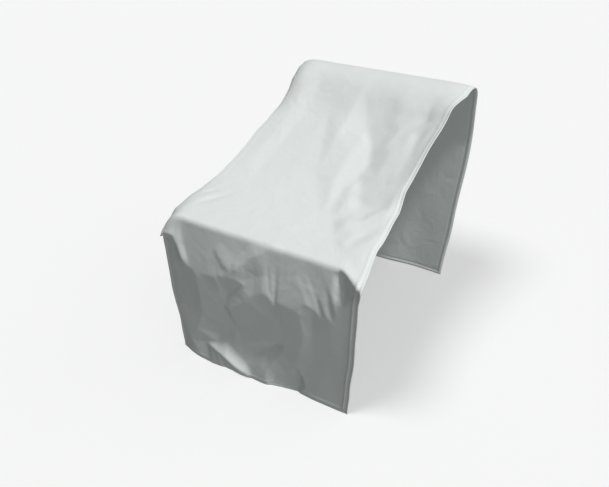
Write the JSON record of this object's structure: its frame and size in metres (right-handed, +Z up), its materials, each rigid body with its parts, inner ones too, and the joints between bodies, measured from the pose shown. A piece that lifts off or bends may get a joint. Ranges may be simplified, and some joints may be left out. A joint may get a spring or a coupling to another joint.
{
  "type": "sectional sofa cover",
  "caption": "Open-sided drop-over cover of light grey coated cloth for an armless sectional sofa section, draped over seat and back to the floor, front and rear.",
  "frame": {"origin": "on the floor, under the middle of the cover's bounding box", "axes": "+Z up, +Y from the front drop to the rear drop, +X to the right of someone who stands in front and faces it"},
  "size_m": [0.693, 0.9406, 0.7982],
  "materials": {
    "coated_cloth": "light grey coated cloth, faintly glossy"
  },
  "bodies": {
    "root": {"cover_cloth": "coated_cloth"}
  },
  "joints": []
}
